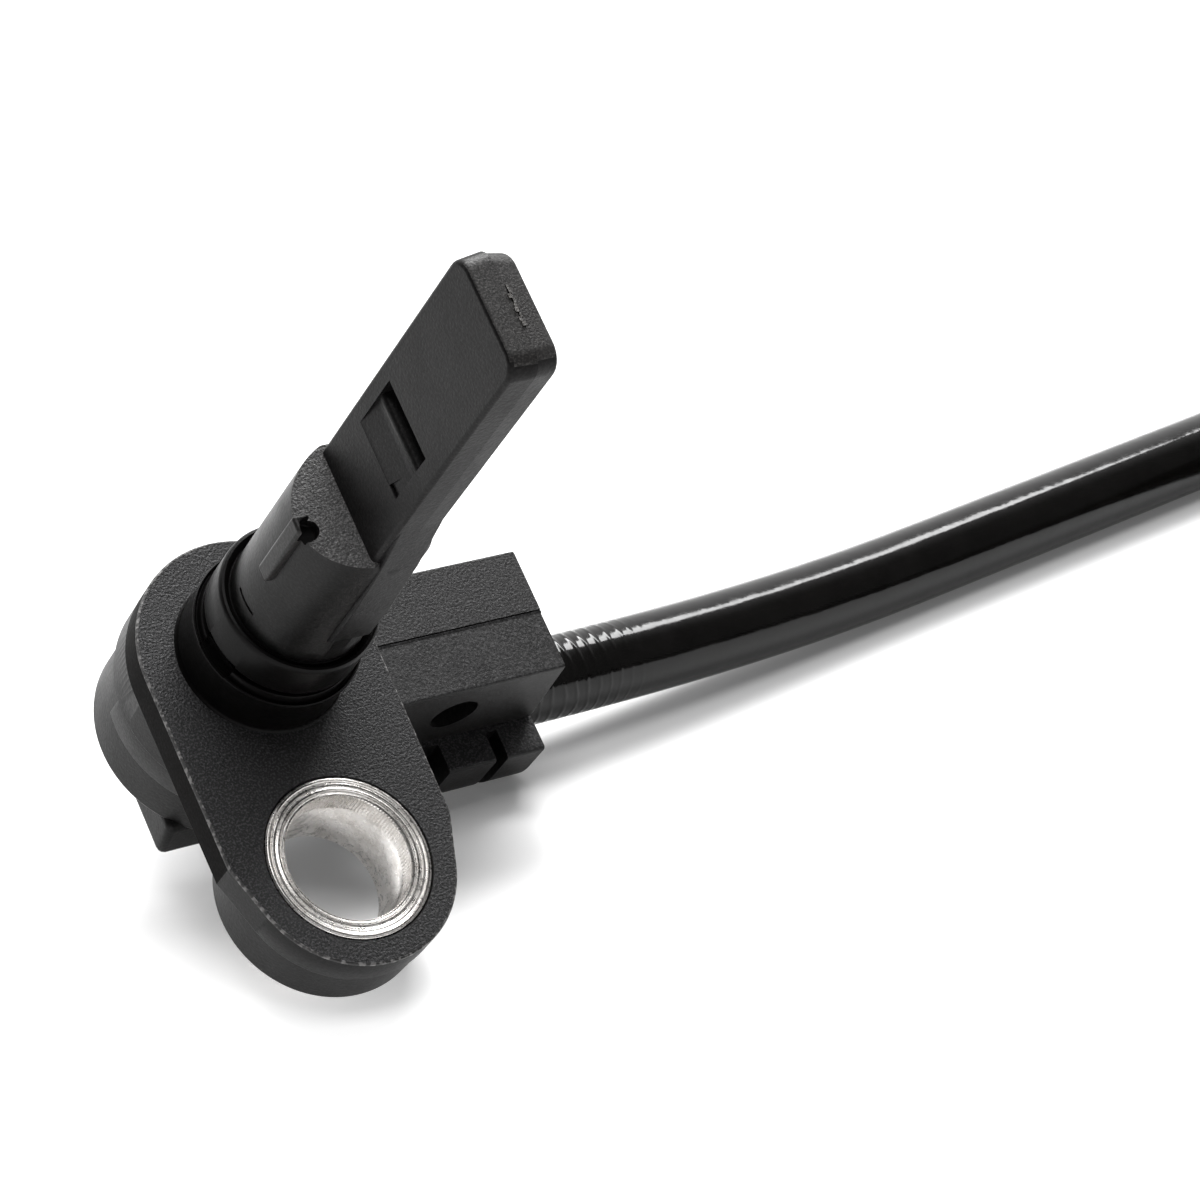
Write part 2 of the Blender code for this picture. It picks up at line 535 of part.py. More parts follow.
for s, tag in ((-1, "a"), (1, "b")):
    x = con_x + s * PIN_X
    pin = box("contact_" + tag, (x - 0.75, x + 0.75), (-13.0, -0.2), (CON_Z - 0.4, CON_Z + 0.4), brass, bevel=0.2)
    barrel = box("barrel_" + tag, (x - 1.35, x + 1.35), (-0.8, 5.2), (CON_Z - 1.35, CON_Z + 1.35))
    join(pin, barrel)
    cut(pin, cylinder("barrel_bore_" + tag, 1.05, 1.2, 6.0, at=(x, CON_Z), axis='Y', n=16))
    turned_seal = [(2.0, 0.0), (2.0, -0.6), (1.75, -0.9), (2.0, -1.2), (2.0, -1.8), (1.75, -2.1), (2.0, -2.4), (2.0, -3.0), (1.06, -3.0), (1.06, 0.0)]
    seal = turned("wire_seal_" + tag, turned_seal, 32, mat=wire_rubber, closed=True)
    seal.matrix_world = Matrix.Translation(Vector((x, 8.7, CON_Z)) * MM) @ Matrix.Rotation(-pi / 2, 4, 'X')
    core = [(con_x + s * (PIN_X + (1.06 - PIN_X) * (t * t * (3 - 2 * t))), 11.0 + 5.6 * t, CON_Z) for t in np.linspace(0, 1, 9)]
    tube("tail_core_" + tag, [(x, 1.8, CON_Z), (x, 5.0, CON_Z), (x, 8.5, CON_Z)] + core, 1.5, core_a_mat if tag == "a" else core_b_mat)

# the last of the jacket, from the coil into the hood
tail_from = tail_stub + np.array([0, -GAP, 0])
tail_to = np.array([con_x, 17.0, CON_Z])
tail = [tail_from + (tail_to - tail_from) * t for t in np.linspace(0, 1, 5)]
for i, t in enumerate(np.linspace(0, 1, 5)):
    tail[i][2] = tail_from[2] + (CON_Z - tail_from[2]) * t * t * (3 - 2 * t)
tube("cable_tail", tail, LEAD_D, jacket, resolution=3)

# the lead's pieces are measured from the point on the ground under the probe axis at the flange
lead_pose = bpy.data.objects.new("lead_pose", None)
parts.objects.link(lead_pose)
lead_pose.location = (-middle[0], -middle[1], 0)
for ob in list(cutters.objects) + list(parts.objects):
    if ob.parent is None and ob not in (pose, lead_pose):
        ob.parent = lead_pose

# round surfaces are shaded smooth, flat ones stay sharp
for ob in parts.objects:
    if ob.type == 'MESH':
        ob.data.shade_smooth()
        ob.data.set_sharp_from_angle(angle=radians(30))
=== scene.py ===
"""Looks of the wheel speed sensor: finishes, fine edges, the lead at its full length, floor, light and camera."""
import bpy
import bmesh
import numpy as np
from math import sin, cos, pi, sqrt, atan2, acos, radians, degrees
from mathutils import Euler, Matrix, Vector


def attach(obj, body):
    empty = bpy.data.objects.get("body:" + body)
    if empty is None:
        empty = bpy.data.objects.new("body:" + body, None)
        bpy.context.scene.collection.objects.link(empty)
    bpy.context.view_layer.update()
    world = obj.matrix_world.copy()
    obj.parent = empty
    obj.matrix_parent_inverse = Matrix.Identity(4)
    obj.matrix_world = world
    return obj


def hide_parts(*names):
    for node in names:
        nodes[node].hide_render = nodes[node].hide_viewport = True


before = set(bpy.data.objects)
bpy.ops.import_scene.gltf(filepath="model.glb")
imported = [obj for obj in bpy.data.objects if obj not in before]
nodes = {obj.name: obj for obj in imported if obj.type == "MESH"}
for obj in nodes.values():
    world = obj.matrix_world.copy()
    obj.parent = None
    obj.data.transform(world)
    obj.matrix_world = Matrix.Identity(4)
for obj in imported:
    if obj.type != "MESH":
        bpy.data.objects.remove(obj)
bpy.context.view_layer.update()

MM = 0.001

# ---------------------------------------------------------------- the head's place on the ground
POSE_AT = (-3.3322, -1.0644, 15.1091)          # mm, probe axis at the flange's seat face
POSE_TIP = 25.8176                             # degrees
POSE_TURN = (60.95, -10.85, 33.55)             # degrees, XYZ
POSE = (Matrix.Translation(Vector(POSE_AT) * MM) @ Matrix.Rotation(radians(-POSE_TIP), 4, 'X')
        @ Euler([radians(a) for a in POSE_TURN], 'XYZ').to_matrix().to_4x4())

# ---------------------------------------------------------------- camera, at the photograph's angle
cam_data = bpy.data.cameras.new("camera")
cam_data.lens = 112.318
cam_data.sensor_width = 36.0
cam_data.clip_start = 0.01
cam_data.clip_end = 20.0
camera = bpy.data.objects.new("camera", cam_data)
camera.location = (0.01457, -0.17737, 0.10349)
camera.rotation_euler = (radians(90 - POSE_TIP), 0, 0)
bpy.context.scene.collection.objects.link(camera)
bpy.context.scene.camera = camera


# ---------------------------------------------------------------- the lead's measures, mm
LEAD_D, LEAD_Y, LEAD_Z, LEAD_IN, OUT_X = 4.90, -0.90, -11.40, 10.0, 19.85
LEAD_ON_GROUND = LEAD_D / 2 + 0.05
HEADING, RUN_END = 41.0, (74.6, 69.6)
COIL_R, TURN_GAP, TOP_TURN_Z, TIE_AT, CON_Z, PIN_X = 26.5, 5.0, 6.80, -62.0, 7.0, 2.9
ORIGIN = np.array([POSE_AT[0], POSE_AT[1], 0.0])
turn = np.array(POSE.to_3x3())
rise = POSE_AT[2]
lead_way = turn @ np.array([1.0, 0, 0])
inner_end = turn @ np.array([LEAD_IN, LEAD_Y, LEAD_Z]) + [0, 0, rise]
exit_at = turn @ np.array([OUT_X, LEAD_Y, LEAD_Z]) + [0, 0, rise]
run_way = np.array([cos(radians(HEADING)), sin(radians(HEADING)), 0.0])
coil_at = np.array([RUN_END[0] + (COIL_R + TURN_GAP / 2) * sin(radians(HEADING)), RUN_END[1] - (COIL_R + TURN_GAP / 2) * cos(radians(HEADING)), 0.0])
landing = np.array([38.2, 38.0, LEAD_ON_GROUND])
run_end = np.array([RUN_END[0], RUN_END[1], LEAD_ON_GROUND])
START = 90.0 + HEADING
con_x = coil_at[0] + COIL_R


# ---------------------------------------------------------------- node helpers
class Shader:
    """A Principled material with a few shorthands for its node tree."""

    def __init__(self, name, rgb, rough, metal=0.0, spec=0.5):
        self.mat = bpy.data.materials.new(name)
        self.mat.use_nodes = True
        self.nt = self.mat.node_tree
        self.p = self.nt.nodes["Principled BSDF"]
        self.p.inputs["Base Color"].default_value = (*rgb, 1)
        self.p.inputs["Roughness"].default_value = rough
        self.p.inputs["Metallic"].default_value = metal
        self.p.inputs["Specular IOR Level"].default_value = spec
        self.mat.diffuse_color = (*rgb, 1)
        self.co = self.nt.nodes.new("ShaderNodeTexCoord").outputs["Object"]
        self.normal = None

    def node(self, kind, **values):
        n = self.nt.nodes.new("ShaderNode" + kind)
        for k, v in values.items():
            setattr(n, k, v)
        return n

    def link(self, a, b):
        self.nt.links.new(a, b)

    def noise(self, scale, detail=2.0, rough=0.5, co=None):
        n = self.node("TexNoise")
        n.inputs["Scale"].default_value = scale
        n.inputs["Detail"].default_value = detail
        n.inputs["Roughness"].default_value = rough
        self.link(co or self.co, n.inputs["Vector"])
        return n.outputs["Fac"]

    def voronoi(self, scale, co=None):
        n = self.node("TexVoronoi")
        n.inputs["Scale"].default_value = scale
        self.link(co or self.co, n.inputs["Vector"])
        return n.outputs["Distance"]

    def ramp(self, fac, stops):
        n = self.node("ValToRGB")
        while len(n.color_ramp.elements) < len(stops):
            n.color_ramp.elements.new(0.5)
        for e, (at, c) in zip(n.color_ramp.elements, stops):
            e.position = at
            e.color = (*c, 1) if isinstance(c, tuple) else (c, c, c, 1)
        self.link(fac, n.inputs[0])
        return n.outputs[0]

    def math(self, op, a, b=0.5, c=None):
        n = self.node("Math", operation=op)
        for i, v in enumerate((a, b) if c is None else (a, b, c)):
            if isinstance(v, (int, float)):
                n.inputs[i].default_value = v
            else:
                self.link(v, n.inputs[i])
        return n.outputs[0]

    def span(self, v, a, b, c, d):
        n = self.node("MapRange")
        for k, x in zip(("From Min", "From Max", "To Min", "To Max"), (a, b, c, d)):
            n.inputs[k].default_value = x
        self.link(v, n.inputs["Value"])
        return n.outputs[0]

    def axes(self):
        n = self.node("SeparateXYZ")
        self.link(self.co, n.inputs[0])
        return n.outputs

    def scaled(self, v):
        n = self.node("VectorMath", operation='MULTIPLY')
        self.link(self.co, n.inputs[0])
        n.inputs[1].default_value = v
        return n.outputs[0]

    def bump(self, height, distance, strength=1.0):
        n = self.node("Bump")
        n.inputs["Strength"].default_value = strength
        n.inputs["Distance"].default_value = distance
        self.link(height, n.inputs["Height"])
        if self.normal is not None:
            self.link(self.normal, n.inputs["Normal"])
        self.normal = n.outputs[0]
        self.link(self.normal, self.p.inputs["Normal"])
        return self

    def colour(self, out):
        self.link(out, self.p.inputs["Base Color"])
        return self

    def rough(self, out):
        self.link(out, self.p.inputs["Roughness"])
        return self


def moulded(name, rgb, rough, grain=0.10, depth=0.012, blotch=0.14, spec=0.5, speck=0.0):
    """Filled black nylon as it leaves the tool: grain in mm, depth in mm, with faint cloudy tone and gloss."""
    s = Shader(name, rgb, rough, spec=spec)
    cloud = s.noise(420, 3, 0.6)
    fine = s.noise(1.0 / (grain * MM), 2, 0.6)
    lo = tuple(c * (1 - blotch) for c in rgb)
    hi = tuple(c * (1 + blotch) for c in rgb)
    tone = s.ramp(cloud, [(0.3, lo), (0.7, hi)])
    if speck:
        dots = s.ramp(s.noise(1.0 / (grain * 0.8 * MM), 1, 0.5), [(0.47, 0.0), (0.66, 1.0)])
        m = s.node("Mix", data_type='RGBA')
        m.inputs[7].default_value = tuple(min(1, c * (1 + speck)) for c in rgb) + (1,)
        s.link(dots, m.inputs[0])
        s.link(tone, m.inputs[6])
        tone = m.outputs[2]
    s.colour(tone)
    s.rough(s.span(s.math('ADD', s.math('MULTIPLY', fine, 0.5), s.math('MULTIPLY', cloud, 0.5)), 0.3, 0.7, rough - 0.07, rough + 0.08))
    s.bump(fine, depth * MM)
    s.bump(cloud, 0.010 * MM, 0.6)
    return s.mat


# ---------------------------------------------------------------- materials
BLACK = (0.0100, 0.0098, 0.0100)
spark = moulded("housing_spark", (0.0062, 0.0061, 0.0064), 0.50, grain=0.15, depth=0.065, blotch=0.10, spec=0.30, speck=5.4)
spark_coarse = moulded("shoulder_spark", (0.0190, 0.0184, 0.0184), 0.52, grain=0.135, depth=0.090, blotch=0.10, spec=0.45, speck=3.6)
spark_box = moulded("box_spark", (0.0090, 0.0088, 0.0090), 0.50, grain=0.16, depth=0.045, blotch=0.10, spec=0.32, speck=3.0)
satin = moulded("housing_satin", (0.0044, 0.0042, 0.0042), 0.42, grain=0.18, depth=0.012, spec=0.14, speck=0.9)
ring_satin = moulded("ring_satin", (0.0018, 0.0016, 0.0016), 0.34, grain=0.20, depth=0.008, spec=0.07)
probe_satin = moulded("probe_satin", (0.0040, 0.0038, 0.0038), 0.36, grain=0.19, depth=0.010, spec=0.11, speck=0.8)
probe_matt = moulded("probe_blade", (0.0046, 0.0043, 0.0044), 0.42, grain=0.18, depth=0.018, spec=0.11, speck=1.1)
# painted highlight: lighter copy of the probe's nylon for the raised rib
rib_painted_highlight = moulded("rib_painted_highlight", (0.0110, 0.0105, 0.0103), 0.36, grain=0.19, depth=0.012, spec=0.16, speck=0.9)
tip_worn = moulded("tip_worn", (0.0180, 0.0172, 0.0168), 0.42, grain=0.13, depth=0.030, spec=0.20, speck=1.6)
tip_flash = moulded("tip_flash", (0.045, 0.042, 0.039), 0.50, grain=0.12, depth=0.060, spec=0.40, speck=1.5)
# painted shade: a darker copy of the black nylon with almost no reflection, used only on the flange's long edge facing
# -x
edge_painted_shade = moulded("edge_painted_shade", (0.0036, 0.0033, 0.0032), 0.55, grain=0.18, depth=0.012, spec=0.02, speck=0.8)
# painted highlight: a lighter, speckled copy of the nylon laid on the rounded rim of the flange's top face
rim_painted_highlight = moulded("rim_painted_highlight", (0.0150, 0.0145, 0.0143), 0.46, grain=0.36, depth=0.080, spec=0.42, speck=9.0)


def bush_steel():
    s = Shader("turned_bush", (0.66, 0.64, 0.61), 0.26, metal=1.0)
    x, y, z = s.axes()
    flat = s.node("CombineXYZ")
    s.link(x, flat.inputs[0])
    s.link(y, flat.inputs[1])
    length = s.node("VectorMath", operation='LENGTH')
    s.link(flat.outputs[0], length.inputs[0])
    radius = length.outputs["Value"]
    rings = s.math('SINE', s.math('MULTIPLY', radius, 2 * pi / (0.115 * MM)))
    wobble = s.noise(2600, 2, 0.6)
    wide = s.math('SINE', s.math('MULTIPLY', radius, 2 * pi / (0.31 * MM)))
    around = s.math('ARCTAN2', y, x)
    notches = s.math('SINE', s.math('MULTIPLY', around, 120))
    mouth = s.span(z, -1.35 * MM, -1.15 * MM, 0.0, 1.0)
    inside = s.span(radius, 3.50 * MM, 3.56 * MM, 1.0, 0.0)
    side = s.math('MULTIPLY', s.math('MULTIPLY', mouth, inside), s.span(s.math('SINE', s.math('ADD', around, -0.5)), 0.3, 0.7, 0.15, 1.0))
    face = s.span(z, -0.16 * MM, -0.10 * MM, 0.0, 1.0)
    patch = s.ramp(s.noise(900, 4, 0.65), [(0.25, (0.62, 0.585, 0.55)), (0.5, (0.84, 0.81, 0.78)), (0.8, (0.96, 0.94, 0.92))])
    lines = s.math('MULTIPLY', s.span(s.math('SINE', s.math('ADD', s.math('MULTIPLY', radius, 2 * pi / (0.275 * MM)), s.math('MULTIPLY', s.noise(400, 2, 0.5), 2.0))),
                                      0.25, 0.85, 0.0, 0.85), face)
    grooved = s.node("Mix", data_type='RGBA')
    s.link(lines, grooved.inputs[0])
    s.link(patch, grooved.inputs[6])
    grooved.inputs[7].default_value = (0.07, 0.065, 0.06, 1)
    s.colour(grooved.outputs[2])
    s.rough(s.span(s.noise(3000, 3, 0.7), 0.3, 0.7, 0.20, 0.40))
    s.bump(s.math('MULTIPLY', rings, face), 0.012 * MM)
    s.bump(s.math('MULTIPLY', wide, face), 0.026 * MM)
    s.bump(s.math('MULTIPLY', notches, side), 0.080 * MM)
    s.bump(wobble, 0.012 * MM)
    axial = s.noise(1.0, 3, 0.6, co=s.scaled((9000, 9000, 900)))
    s.bump(axial, 0.006 * MM)
    return s.mat


def glossy_jacket():
    s = Shader("lead_jacket", (0.0035, 0.0033, 0.0032), 0.10, spec=0.24)
    s.colour(s.ramp(s.noise(700, 3, 0.6), [(0.3, (0.0026, 0.0024, 0.0023)), (0.7, (0.0048, 0.0045, 0.0043))]))
    s.rough(s.span(s.noise(1600, 3, 0.65), 0.3, 0.7, 0.07, 0.15))
    # creases across the jacket where it comes out of the outlet, fading away along it
    rel = s.node("VectorMath", operation='SUBTRACT')
    s.link(s.co, rel.inputs[0])
    rel.inputs[1].default_value = tuple((exit_at + ORIGIN) * MM)
    dot = s.node("VectorMath", operation='DOT_PRODUCT')
    s.link(rel.outputs[0], dot.inputs[0])
    dot.inputs[1].default_value = (0.79, 0.61, -0.07)
    along = dot.outputs["Value"]
    uneven = s.math('MULTIPLY', s.noise(260, 2, 0.5), 7.0)
    crease = s.math('SINE', s.math('ADD', s.math('MULTIPLY', along, 2 * pi / (0.82 * MM)), uneven))
    crease = s.math('POWER', s.math('ADD', s.math('MULTIPLY', crease, 0.5), 0.5), 4.0)
    near = s.span(along, 4.0 * MM, 10.0 * MM, 1.0, 0.0)
    s.bump(s.math('MULTIPLY', crease, near), 0.034 * MM)
    s.bump(s.noise(420, 2, 0.5), 0.035 * MM)
    s.bump(s.noise(4200, 2, 0.6), 0.0028 * MM)
    return s.mat


def metal(name, rgb, rough, grain=2500):
    s = Shader(name, rgb, rough, metal=1.0)
    s.colour(s.ramp(s.noise(1200, 3, 0.6), [(0.3, tuple(c * 0.86 for c in rgb)), (0.7, tuple(min(1, c * 1.06) for c in rgb))]))
    s.rough(s.span(s.noise(grain, 2, 0.6), 0.3, 0.7, rough - 0.06, rough + 0.09))
    s.bump(s.noise(grain, 2, 0.6), 0.006 * MM)
    return s.mat


def silicone(name, rgb):
    s = Shader(name, rgb, 0.6)
    s.colour(s.ramp(s.noise(900, 3, 0.6), [(0.3, tuple(c * 0.8 for c in rgb)), (0.7, tuple(c * 1.15 for c in rgb))]))
    s.bump(s.noise(6000, 2, 0.6), 0.010 * MM)
    s.p.inputs["Subsurface Weight"].default_value = 0.05
    s.p.inputs["Subsurface Scale"].default_value = 0.001
    return s.mat


bush_mat = bush_steel()
jacket_mat = glossy_jacket()
tin_mat = metal("tinned", (0.72, 0.72, 0.70), 0.28)
contact_mat = metal("tinned_brass", (0.76, 0.70, 0.55), 0.26)
copper_mat = metal("copper_wire", (0.80, 0.42, 0.26), 0.30)
connector_mat = moulded("connector_moulding", (0.0145, 0.0142, 0.0148), 0.44, grain=0.14, depth=0.012, speck=0.2)
hood_mat = moulded("hood_moulding", (0.0165, 0.0162, 0.0168), 0.52, grain=0.12, depth=0.030, speck=0.4)
tie_mat = moulded("tie_nylon", (0.012, 0.012, 0.0122), 0.38, grain=0.2, depth=0.006)
lock_mat = moulded("lock_moulding", (0.36, 0.030, 0.022), 0.42, grain=0.14, depth=0.010)
carrier_mat = moulded("carrier_moulding", (0.52, 0.50, 0.44), 0.50, grain=0.12, depth=0.010)
epoxy_mat = moulded("ic_epoxy", (0.02, 0.02, 0.022), 0.50, grain=0.10, depth=0.020)
ceramic_mat = moulded("capacitor_epoxy", (0.05, 0.05, 0.055), 0.48, grain=0.10, depth=0.016)
brown_mat = moulded("core_brown", (0.28, 0.10, 0.035), 0.36, grain=0.30, depth=0.008)
blue_mat = moulded("core_blue", (0.03, 0.08, 0.34), 0.36, grain=0.30, depth=0.008)
seal_mat = silicone("seal_silicone", (0.10, 0.32, 0.12))


# ---------------------------------------------------------------- modelling helpers, sizes in mm
scrap = []


def keep(ob):
    bpy.context.scene.collection.objects.link(ob)
    scrap.append(ob)
    return ob


def from_bmesh(name, bm):
    me = bpy.data.meshes.new(name)
    bmesh.ops.recalc_face_normals(bm, faces=bm.faces[:])
    bm.to_mesh(me)
    bm.free()
    return keep(bpy.data.objects.new(name, me))


def rounded(ob, width, segments=3, angle=40):
    m = ob.modifiers.new("round", 'BEVEL')
    m.width = width * MM
    m.segments = segments
    m.limit_method = 'ANGLE'
    m.angle_limit = radians(angle)
    m.harden_normals = False
    return ob


def box(name, x, y, z, r=0.0, segments=3):
    bm = bmesh.new()
    bmesh.ops.create_cube(bm, size=1.0)
    bmesh.ops.scale(bm, vec=Vector((x[1] - x[0], y[1] - y[0], z[1] - z[0])) * MM, verts=bm.verts)
    bmesh.ops.translate(bm, vec=Vector((x[0] + x[1], y[0] + y[1], z[0] + z[1])) * MM / 2, verts=bm.verts)
    ob = from_bmesh(name, bm)
    return rounded(ob, r, segments) if r else ob


def cylinder(name, r, lo, hi, at=(0.0, 0.0), axis='Z', n=96, r_hi=None):
    bm = bmesh.new()
    bmesh.ops.create_cone(bm, cap_ends=True, segments=n, radius1=r * MM, radius2=(r if r_hi is None else r_hi) * MM, depth=(hi - lo) * MM)
    mid = (lo + hi) / 2
    if axis == 'Z':
        turn, place = Matrix.Identity(3), (at[0], at[1], mid)
    elif axis == 'X':
        turn, place = Matrix.Rotation(pi / 2, 3, 'Y'), (mid, at[0], at[1])
    else:
        turn, place = Matrix.Rotation(-pi / 2, 3, 'X'), (at[0], mid, at[1])
    bmesh.ops.rotate(bm, matrix=turn, verts=bm.verts)
    bmesh.ops.translate(bm, vec=Vector(place) * MM, verts=bm.verts)
    return from_bmesh(name, bm)


def prism(name, outline, lo, hi, plane='XY', r=0.0, segments=3, angle=40):
    """Flat outline pushed along its normal, then its rims rounded."""
    bm = bmesh.new()
    at = {'XY': lambda u, v, w: (u, v, w), 'XZ': lambda u, v, w: (u, w, v), 'YZ': lambda u, v, w: (w, u, v)}[plane]
    ring = [bm.verts.new(Vector(at(u, v, lo)) * MM) for u, v in outline]
    face = bm.faces.new(ring)
    out = bmesh.ops.extrude_face_region(bm, geom=[face])
    push = Vector(at(0, 0, hi - lo)) * MM
    bmesh.ops.translate(bm, vec=push, verts=[g for g in out["geom"] if isinstance(g, bmesh.types.BMVert)])
    ob = from_bmesh(name, bm)
    return rounded(ob, r, segments, angle) if r else ob


def drafted(name, outer, x_outer, inner, x_inner, r):
    """Two outlines of the same point count in YZ, joined into a solid that widens from the outer to the inner one; the outer rim is rounded."""
    bm = bmesh.new()
    a = [bm.verts.new(Vector((x_outer, u, v)) * MM) for u, v in outer]
    b = [bm.verts.new(Vector((x_inner, u, v)) * MM) for u, v in inner]
    cap = bm.faces.new(a)
    bm.faces.new(list(reversed(b)))
    for i in range(len(a)):
        j = (i + 1) % len(a)
        bm.faces.new((a[i], b[i], b[j], a[j]))
    bmesh.ops.recalc_face_normals(bm, faces=bm.faces[:])
    bmesh.ops.bevel(bm, geom=list(cap.edges), offset=r * MM, segments=4, profile=0.5, affect='EDGES', clamp_overlap=True)
    return from_bmesh(name, bm)


def turned(name, profile, n=128, at=(0.0, 0.0)):
    """Closed ring or solid of revolution about Z from a profile of (r, z), in order."""
    bm = bmesh.new()
    verts = [bm.verts.new((r * MM, 0, z * MM)) for r, z in profile]
    edges = [bm.edges.new((verts[i], verts[i + 1])) for i in range(len(verts) - 1)]
    if profile[0][0] > 0:
        edges.append(bm.edges.new((verts[-1], verts[0])))
    bmesh.ops.spin(bm, geom=verts + edges, cent=(0, 0, 0), axis=(0, 0, 1), dvec=(0, 0, 0), angle=2 * pi, steps=n, use_merge=True, use_duplicate=False)
    bmesh.ops.remove_doubles(bm, verts=bm.verts, dist=1e-6)
    bmesh.ops.translate(bm, vec=Vector((at[0], at[1], 0)) * MM, verts=bm.verts)
    return from_bmesh(name, bm)


def combine(ob, others, how, solver='MANIFOLD'):
    for o in others:
        m = ob.modifiers.new(how, 'BOOLEAN')
        m.operation = how
        m.solver = solver
        m.object = o
        o.hide_render = True
    return ob


def arc(cx, cy, r, a0, a1, n):
    return [(cx + r * cos(radians(a)), cy + r * sin(radians(a))) for a in np.linspace(a0, a1, n)]


def baked(ob, name, mats, pick=None, pose=POSE, sharp=34, at=(0, 0, 0)):
    """The finished mesh of ob as one new object on the frame. pick(centre, normal) gives a face's material number."""
    bpy.context.view_layer.update()
    me = bpy.data.meshes.new_from_object(ob.evaluated_get(bpy.context.evaluated_depsgraph_get()))
    bm = bmesh.new()
    bm.from_mesh(me)
    bmesh.ops.remove_doubles(bm, verts=bm.verts, dist=2e-6)
    bmesh.ops.dissolve_degenerate(bm, edges=bm.edges, dist=1e-6)
    bmesh.ops.translate(bm, vec=-Vector(at) * MM, verts=bm.verts)
    which = []
    for f in bm.faces:
        f.smooth = True
        which.append(pick((f.calc_center_median() + Vector(at) * MM) / MM, f.normal) if pick else 0)
    bm.to_mesh(me)
    bm.free()
    me.set_sharp_from_angle(angle=radians(sharp))
    me.materials.clear()
    for m in mats:
        me.materials.append(m)
    me.polygons.foreach_set("material_index", which)
    new = bpy.data.objects.new(name, me)
    bpy.context.scene.collection.objects.link(new)
    new.matrix_world = pose @ Matrix.Translation(Vector(at) * MM)
    w = new.modifiers.new("weighted", 'WEIGHTED_NORMAL')
    w.keep_sharp = True
    w.weight = 80
    return new


def clear_scrap():
    for o in scrap:
        bpy.data.objects.remove(o, do_unlink=True)
    scrap.clear()


def show(ob, slot, *cad):
    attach(ob, "root")
    if cad:
        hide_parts(*cad)
    return ob


# ================================================================ the lead
def bezier(p0, p1, p2, p3, n):
    t = np.linspace(0, 1, n)[:, None]
    return (1 - t) ** 3 * p0 + 3 * t * (1 - t) ** 2 * p1 + 3 * t * t * (1 - t) * p2 + t ** 3 * p3


def on_coil(angle, r, z):
    return np.array([coil_at[0] + r * cos(radians(angle)), coil_at[1] + r * sin(radians(angle)), z])


def ease(t):
    return t * t * (3 - 2 * t)


def lead_route():
    pts = [inner_end + (exit_at - inner_end) * t for t in (0.0, 0.5)]
    pts += list(bezier(exit_at, exit_at + lead_way * 11.0, landing - run_way * 12.0, landing, 14))
    pts += [landing + (run_end - landing) * t for t in np.linspace(0, 1, 10)[1:]]
    outer, inner = COIL_R + TURN_GAP / 2, COIL_R - TURN_GAP / 2
    # clockwise: a first turn outside, a second turn inside it, then up on top of the two and out to the connector
    for a in np.linspace(0, 360, 37)[1:]:
        pts.append(on_coil(START - a, outer - ease(max(0, (a - 318) / 42)) * TURN_GAP * 0.5, LEAD_ON_GROUND))
    for a in np.linspace(0, 320, 33)[1:]:
        pts.append(on_coil(START - a, COIL_R - ease(min(1, a / 40)) * TURN_GAP * 0.5, LEAD_ON_GROUND))
    last = START - 320
    for a in np.linspace(0, 40, 7)[1:]:
        s = ease(a / 40)
        pts.append(on_coil(last - a, inner + s * TURN_GAP / 2, LEAD_ON_GROUND + s * (TOP_TURN_Z - LEAD_ON_GROUND)))
    tail_z = CON_Z + 0.4
    for a in np.linspace(0, START, 15)[1:]:
        pts.append(on_coil(START - a, COIL_R, TOP_TURN_Z + (tail_z - TOP_TURN_Z) * ease(a / START)))
    leave = pts[-1]
    stub = leave + np.array([0, -18.3, 0])
    for t in (0.33, 0.66, 1.0):
        pts.append(leave + (stub - leave) * t)
    end = np.array([con_x, 17.0, CON_Z])
    for t in np.linspace(0, 1, 5)[1:]:
        p = stub + (end - stub) * t
        p[2] = stub[2] + (CON_Z - stub[2]) * ease(t)
        pts.append(p)
    return [(p + ORIGIN) * MM for p in pts]


route = lead_route()
lead_curve = bpy.data.curves.new("lead", 'CURVE')
lead_curve.dimensions = '3D'
lead_curve.bevel_depth = LEAD_D / 2 * MM
lead_curve.bevel_resolution = 12
lead_curve.use_fill_caps = True
sp = lead_curve.splines.new('NURBS')
sp.points.add(len(route) - 1)
for p, c in zip(sp.points, route):
    p.co = (*c, 1)
sp.use_endpoint_u = True
sp.order_u = 4
sp.resolution_u = 5
sp.use_smooth = True
lead_curve.materials.append(jacket_mat)
lead = bpy.data.objects.new("lead", lead_curve)
bpy.context.scene.collection.objects.link(lead)
lead_length = sum(float(np.linalg.norm(b - a)) for a, b in zip(route, route[1:]))
print("lead length", lead_length)
show(lead, "cable_jacket", "cable_jacket", "cable_coil", "cable_tail")

# ================================================================ housing
BOLT_SPAN = 12.24


def flange_outline(n_end=64, n_boss=56, grow=0.0):
    boss_r, half, side_end = 6.05 + grow, 6.72 + grow, -11.2
    dx, dy = half, side_end + BOLT_SPAN
    a = degrees(atan2(dy, dx) - acos(boss_r / sqrt(dx * dx + dy * dy)))
    return (arc(0, 0, 6.82 + grow, 0, 180, n_end) + [(-half, side_end)] + arc(0, -BOLT_SPAN, boss_r, 180 - a, 360 + a, n_boss) + [(half, side_end)])


